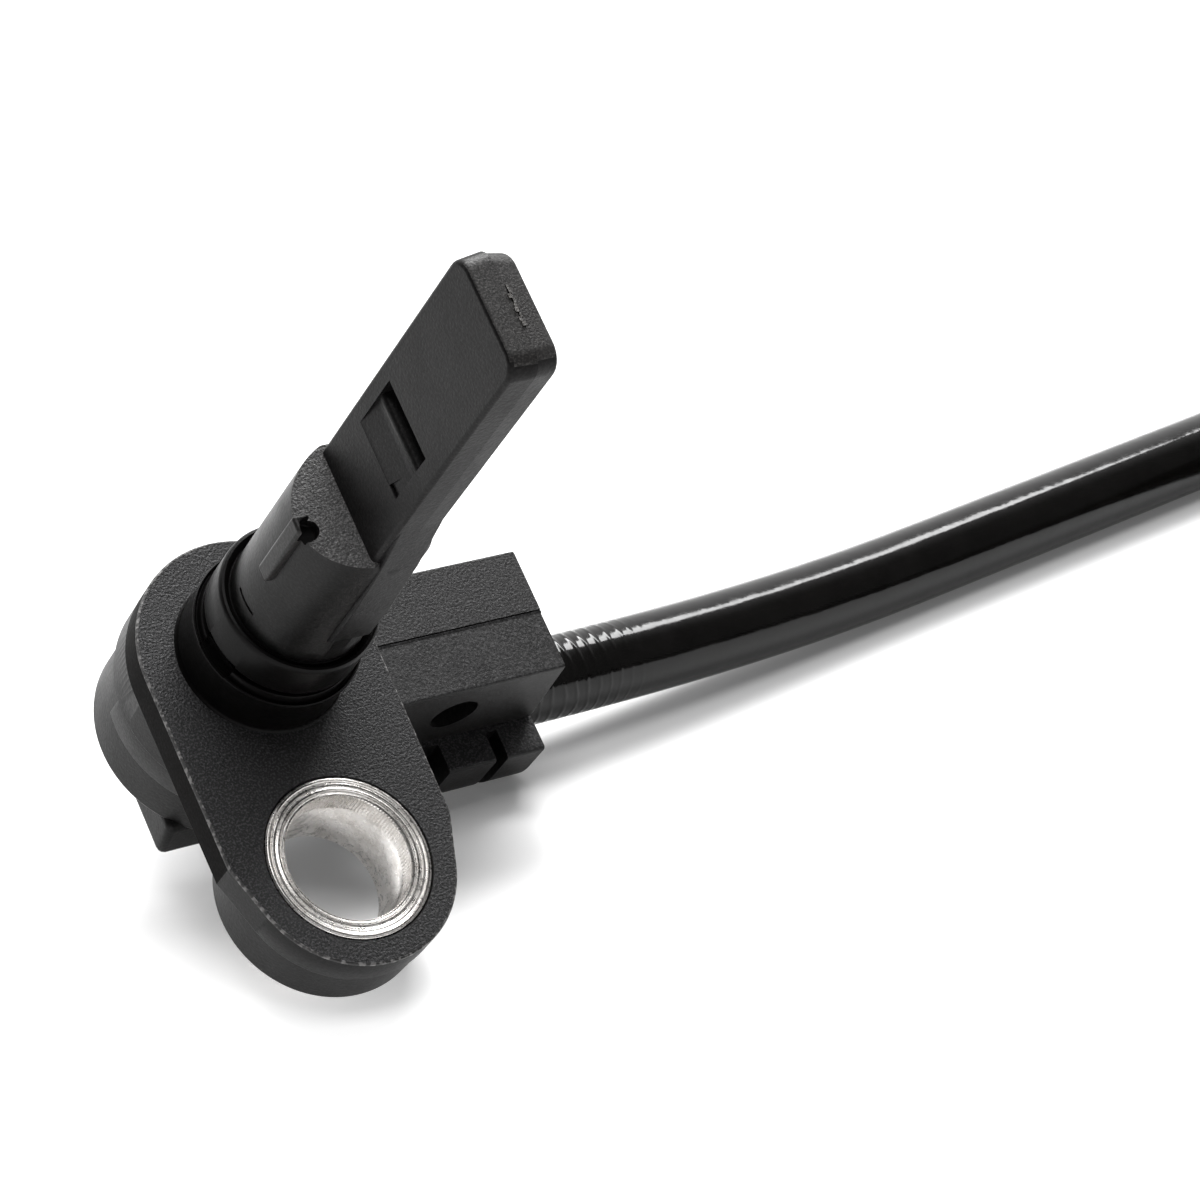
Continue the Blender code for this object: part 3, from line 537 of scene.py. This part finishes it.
def build_housing():
    h = prism("flange", flange_outline(), -1.95, 0.0, r=0.13, segments=2)
    boss = cylinder("boss", 5.92, -4.60, -0.5, at=(0, -BOLT_SPAN), n=128, r_hi=6.04)
    rounded(boss, 0.18, 3)
    drum = rounded(cylinder("drum", 6.44, -8.76, -1.0, n=128), 0.22, 3)
    band = cylinder("band", 6.80, -4.0, -0.9, n=128)
    rounded(band, 0.10, 2)
    step = prism("step", [(0.0, 0.0)] + arc(0, 0, 6.66, 172, 262, 40), -5.7, -0.8, r=0.08, segments=2)
    top_rear = prism("box_rear", [(1.0, -9.10), (19.74, -9.10), (19.10, -2.58), (1.0, -2.58)], -0.35, 3.76, plane='XZ', r=0.16, segments=2)
    top_front = prism("box_front", [(1.0, -9.12), (19.72, -9.12), (19.06, -2.63), (1.0, -2.63)], -3.78, -0.10, plane='XZ', r=0.16, segments=2)
    pad = prism("pad", [(-5.75, -11.05), (2.2, -11.05), (1.8, -8.4), (-5.35, -8.4)], -4.6, 3.5, plane='YZ', r=0.45, segments=3)
    c = 5.85 - 3.20
    outlet = prism("outlet", [(5.85, -9.15), (-5.85, -9.15)] + arc(-c, -11.6, 3.2, 180, 270, 20) + arc(c, -11.6, 3.2, 270, 360, 20), 1.5, 19.85,
                   plane='YZ', r=0.22, segments=3)
    ring = turned("ring", [(0, 3.30), (4.30, 3.30), (4.34, 3.26), (4.38, 2.92), (4.43, 2.80), (4.49, 2.80), (4.55, 2.90), (4.62, 2.93), (4.68, 2.88), (4.70, 2.78),
                           (4.66, 2.60), (4.62, 0.34), (4.63, 0.20), (4.68, 0.08), (4.78, -0.02), (4.78, -0.5), (0, -0.5)], 160)
    combine(h, [boss, drum, band, step, top_rear, top_front, pad, outlet, ring], 'UNION')
    hole = turned("probe_hole", [(0, 4.6), (4.10, 4.6), (4.10, 3.36), (3.98, 3.22), (3.92, 3.10), (3.90, -1.9), (0, -1.9)], 128)
    bush = turned("bush_hole", [(0, 2), (4.70, 2), (4.70, 0.0), (4.65, -0.06), (4.65, -6.6), (0, -6.6)], 128, at=(0, -BOLT_SPAN))
    cavity = box("cavity", (-3.7, 4.9), (-3.3, 3.3), (-8.0, -1.2))
    way = turned("lead_hole", [(0, 20.6), (3.05, 20.6), (2.75, 19.6), (2.75, 4.5), (0, 4.5)], 96)
    way.matrix_world = Matrix.Translation(Vector((0, LEAD_Y, LEAD_Z)) * MM) @ Matrix.Rotation(pi / 2, 4, 'Y')
    core_way = box("core_way", (3.2, 9.2), (-3.0, 2.3), (-13.2, -5.0))
    pins = [rounded(cylinder("pin", 1.45, lo, hi, at=(13.0, -5.80), axis='Y', n=64), 0.02, 1) for lo, hi in ((-6, -1.2), (1.2, 6))]
    slots = [box("slot", x, sorted((s * 4.05, s * 8.0)), (-17, -9.0), r=0.12, segments=2) for x in ((12.0, 13.3), (16.45, 17.22)) for s in (-1, 1)]
    # seam between the two halves of the mould, across the box's top and down its end
    seam = box("seam", (6.0, 22.0), (-0.165, -0.075), (-2.71, -2.2))
    seam_end = prism("seam_end", [(19.62, -9.3), (20.6, -9.3), (20.0, -2.4), (18.98, -2.4)], -0.165, -0.075, plane='XZ')
    notch = box("notch", (-5.4, -4.02), (-1.15, 1.15), (2.84, 4.4), r=0.06, segments=2)
    notch.rotation_euler = (0, 0, radians(13))
    combine(h, [hole, bush, cavity, way, core_way, notch] + pins + slots + [seam, seam_end], 'DIFFERENCE')

    def pick(c, n):
        if n.z > 0.98 and -0.02 < c.z < 0.02:
            return 0                                   # flange's seat face
        if 0.15 < n.z < 0.97 and -0.16 < c.z < 0.01 and not (c.x ** 2 + c.y ** 2 < 25.6) and not (c.x ** 2 + (c.y + BOLT_SPAN) ** 2 < 27.0):
            return 5                                   # painted highlight: lighter, coarse-grained colour on the rounded rim of the flange's top face
        if -0.1 < c.z < 3.5 and c.x ** 2 + c.y ** 2 < 23.2:
            return 4                                   # ring
        if n.x < -0.5 and abs(n.z) < 0.75 and -1.96 < c.z < -0.12 and c.x < -3.0 and c.y > -11.6:
            return 6                                   # flange's long edge on the -x side: painted shade, a darker copy of the nylon with almost no reflection
        if n.z > 0.9 and c.x > 5.5 and -2.8 < c.z < -2.4 and c.y > -0.2:
            return 3                                   # rear half of the box's top
        if n.z > 0.9 and c.x > 5.5 and -2.8 < c.z < -2.4:
            return 2
        if n.z > 0.9 and -9.4 < c.z < -9.0:
            return 0                                   # ledges of the outlet
        return 1
    return show(baked(h, "housing", [spark, satin, satin_grain, spark_box, ring_satin, rim_painted_highlight, edge_painted_shade], pick), "black_nylon", "mounting_housing")


satin_grain = moulded("housing_fine_spark", (0.0088, 0.0086, 0.0088), 0.48, grain=0.16, depth=0.036, spec=0.32, speck=3.0)
housing = build_housing()
clear_scrap()


# ================================================================ probe
def build_probe():
    prof = [(0, 16.60), (3.74, 16.60), (3.765, 14.3), (3.765, 6.22), (3.79, 6.10), (3.86, 6.05), (3.94, 6.10),
            (4.04, 6.22), (4.16, 6.27), (4.28, 6.23), (4.36, 6.10), (4.39, 5.90), (4.39, 3.9), (4.36, 3.74), (3.6, 3.70), (3.6, -1.6), (0, -1.6)]
    p = turned("shank", prof, 160)

    def blade(half, top, r):
        return [(-half, 12.0), (half, 12.0)] + arc(half - r, top - r, r, 0, 90, 16) + arc(-half + r, top - r, r, 90, 180, 16)
    # the shank's end slants down from the blade's foot to its own edge on both sides
    slants = [prism("slant", [(s * 0.9, 16.45 - 0.40 * 0.9), (s * 6.0, 16.45 - 0.40 * 6.0), (s * 6.0, 20.0), (s * 0.9, 20.0)], -6, 6, plane='XZ') for s in (-1, 1)]
    slants += [prism("slant", [(s * 3.05, 17.0), (s * 3.30, 16.4), (s * 4.2, 14.7), (s * 4.2, 17.0)], -6, 6, plane='YZ') for s in (-1, 1)]
    combine(p, slants, 'DIFFERENCE')
    # two halves that are widest where they meet; only the outer rims are rounded
    front = drafted("front", blade(3.28, 33.86, 1.15), -1.26, blade(3.41, 34.05, 1.05), 0.12, 0.24)
    back = drafted("back", blade(3.27, 33.84, 1.15), 1.48, blade(3.36, 33.98, 1.05), 0.12, 0.24)
    rib = box("rib", (-4.14, -3.2), (-0.72, 0.28), (10.5, 15.6), r=0.20, segments=4)
    # flat strip down the shank under the blade's near edge
    strip = prism("strip", [(-3.0, 8.2), (-3.70, 8.35), (-3.93, 8.75), (-3.93, 11.5), (-3.72, 15.6), (-3.15, 20.5), (-3.0, 20.5)], -0.95, 1.35, plane='YZ', r=0.12, segments=2)
    combine(p, [front, back, rib, strip], 'UNION')
    # wedge-shaped pocket: a shallow ramp that ends in a rounded step and a deeper slot
    f = -1.26
    pocket = prism("pocket", [(f - 0.5, 20.26), (f + 0.01, 20.26), (f + 0.05, 20.5), (f + 0.20, 22.0), (f + 0.22, 22.3), (f + 0.17, 22.50), (f + 0.14, 22.64),
                              (f + 0.18, 22.80), (f + 0.30, 22.92), (f + 0.72, 23.04), (f + 0.80, 23.16), (f + 0.80, 23.95), (f + 0.02, 24.14), (f - 0.5, 24.14)],
                   -2.12, 2.3, plane='XZ')
    corner = prism("corner", [(-2.12, 20.30), (-1.30, 20.30), (-1.55, 21.3), (-2.12, 22.2)], f - 0.5, f + 0.16, plane='YZ')
    notch = rounded(cylinder("notch", 0.58, 14.7, 17, at=(-3.42, -0.50), n=48), 0.05, 1)
    rooms = [box("ic_room", (-0.72, 0.95), (-2.3, 2.3), (28.0, 33.1)), box("lead_room", (-0.30, 0.55), (-2.0, 2.0), (-2.6, 28.3)),
             box("cap_room", (-1.60, 0.55), (-2.7, 2.7), (-2.6, 14.0))]
    # torn flash along the middle of the tip's joint line
    flash = []
    for i in range(9):
        t = (i + 0.5) / 9
        x, y = 0.23 + (-0.05) * t + 0.06 * sin(i * 2.4), 1.09 + (-2.28) * t
        flash.append(box("flash", (x - 0.05 - 0.04 * (i % 3), x + 0.06), (y - 0.14, y + 0.09 + 0.03 * (i % 2)), (33.8, 34.06 + 0.03 * (i % 3))))
    combine(p, flash, 'UNION')
    slit = box("slit", (-4.6, -3.62), (-0.92, 0.72), (7.24, 7.42))
    slot = box("ring_slot", (-5.4, -4.05), (-1.15, 1.15), (3.00, 3.92))
    slot.rotation_euler = (0, 0, radians(13))
    combine(p, [pocket, corner, notch, slit, slot] + rooms, 'DIFFERENCE')

    def pick(c, n):
        if n.z > 0.85 and abs(n.x) > 0.3 and 14.0 < c.z < 16.4:
            return 1                                   # slanted ends of the shank
        if c.z > 34.052:
            return 6                                   # flash on the tip
        if c.z > 33.7 and n.z > 0.6 and abs(c.x - 0.12) < 1.3:
            return 4                                   # tip
        if abs(c.x) < 1.6 and c.z > 14.0:
            return 2                                   # blade
        if c.x < -3.80 and -0.75 < c.y < 0.32 and c.z > 10.0:
            return 5                                   # rib: painted highlight, a lighter copy of the probe's nylon on the raised rib
        if c.z < 6.32 and c.x ** 2 + c.y ** 2 > 14.3:
            return 3                                   # collar
        return 0
    return show(baked(p, "probe", [probe_satin, spark_coarse, probe_matt, ring_satin, tip_worn, rib_painted_highlight, tip_flash], pick), "black_probe_plastic", "probe_body")


probe = build_probe()
clear_scrap()


# ================================================================ bush
def build_bush():
    top, low = 0.04, -4.95
    prof = [(3.60, top - 0.01), (3.66, top), (3.70, top), (3.73, top - 0.045), (3.80, top - 0.045), (3.83, top), (4.02, top), (4.04, top - 0.03), (4.07, top),
            (4.28, top), (4.305, top - 0.03), (4.33, top), (4.50, top), (4.57, top - 0.03), (4.60, top - 0.10), (4.60, low + 0.12), (4.48, low), (3.60, low),
            (3.48, low + 0.12), (3.48, top - 1.25), (3.50, top - 1.20), (3.50, top - 0.16), (3.54, top - 0.06)]
    b = turned("bush", prof, 192, at=(0, -BOLT_SPAN))
    return show(baked(b, "bush", [bush_mat], sharp=50, at=(0, -BOLT_SPAN, 0)), "plated_bush", "bolt_bush")


bush = build_bush()
clear_scrap()

# ================================================================ pieces carried from the CAD model
CARRIED = {"sensor_ic": epoxy_mat, "ic_lead_a": tin_mat, "ic_lead_b": tin_mat, "capacitor_module": ceramic_mat, "crimp_a": tin_mat, "crimp_b": tin_mat,
           "conductor_a": copper_mat, "conductor_b": copper_mat, "core_a": brown_mat, "core_b": blue_mat, "inner_carrier": carrier_mat,
           "coil_tie": tie_mat, "connector_body": connector_mat, "connector_hood": hood_mat, "secondary_lock": lock_mat, "contact_a": contact_mat,
           "contact_b": contact_mat, "wire_seal_a": seal_mat, "wire_seal_b": seal_mat, "tail_core_a": brown_mat, "tail_core_b": blue_mat}
for n, m in CARRIED.items():
    nodes[n].data.materials.clear()
    nodes[n].data.materials.append(m)

# ================================================================ floor and light
bm = bmesh.new()
bmesh.ops.create_grid(bm, x_segments=8, y_segments=8, size=3.0)
me = bpy.data.meshes.new("floor")
bm.to_mesh(me)
bm.free()
floor = bpy.data.objects.new("floor", me)
floor.location = (0, 0, 0)
bpy.context.scene.collection.objects.link(floor)
fl = Shader("floor_white", (0.76, 0.76, 0.76), 0.75, spec=0.25)
fl.colour(fl.ramp(fl.noise(3, 3, 0.5), [(0.3, 0.75), (0.7, 0.77)]))
fl.p.inputs["Emission Color"].default_value = (1, 1, 1, 1)
# painted light: the floor itself glows, 0.62 within 14 mm of a point in front of the part and fading to 0.10 beyond 27
# mm, so the cast shadow in front of the boss is lightened while the floor under the part stays dim
away = fl.node("VectorMath", operation='DISTANCE')
fl.link(fl.co, away.inputs[0])
away.inputs[1].default_value = (-0.0040, -0.0260, 0.0)
fl.link(fl.span(away.outputs["Value"], 0.014, 0.027, 0.62, 0.10), fl.p.inputs["Emission Strength"])
floor.data.materials.append(fl.mat)

world = bpy.data.worlds.new("studio")
bpy.context.scene.world = world
world.use_nodes = True
wt = world.node_tree
back = wt.nodes["Background"]
way = wt.nodes.new("ShaderNodeTexCoord")
up = wt.nodes.new("ShaderNodeVectorMath")
up.operation = 'DOT_PRODUCT'
up.inputs[1].default_value = (-0.15, 0.93, 0.33)
wt.links.new(way.outputs["Generated"], up.inputs[0])
fade = wt.nodes.new("ShaderNodeMapRange")
fade.interpolation_type = 'SMOOTHSTEP'
for k, v in (("From Min", 0.25), ("From Max", 0.95), ("To Min", 0.13), ("To Max", 1.45)):
    fade.inputs[k].default_value = v
wt.links.new(up.outputs["Value"], fade.inputs["Value"])
wt.links.new(fade.outputs[0], back.inputs[1])
back.inputs[0].default_value = (1.0, 1.0, 1.0, 1)


def area(name, at, size, power, aim=(0.0, 0.0, 0.015), rgb=(1, 1, 1)):
    d = bpy.data.lights.new(name, 'AREA')
    d.shape = 'RECTANGLE'
    d.size, d.size_y = size
    d.energy = power
    d.color = rgb
    o = bpy.data.objects.new(name, d)
    o.location = at
    o.rotation_euler = (Vector(aim) - Vector(at)).to_track_quat('-Z', 'Y').to_euler()
    bpy.context.scene.collection.objects.link(o)
    return o


area("key_light", (-0.20, 0.50, 0.84), (0.70, 0.54), 9.5)
area("strip_light", (0.22, 0.62, 0.78), (0.60, 0.24), 9.0)
area("top_fill", (0.05, -0.25, 0.95), (0.60, 0.40), 4.0)

bpy.context.scene.view_settings.view_transform = 'Standard'
bpy.context.scene.view_settings.exposure = 0.0
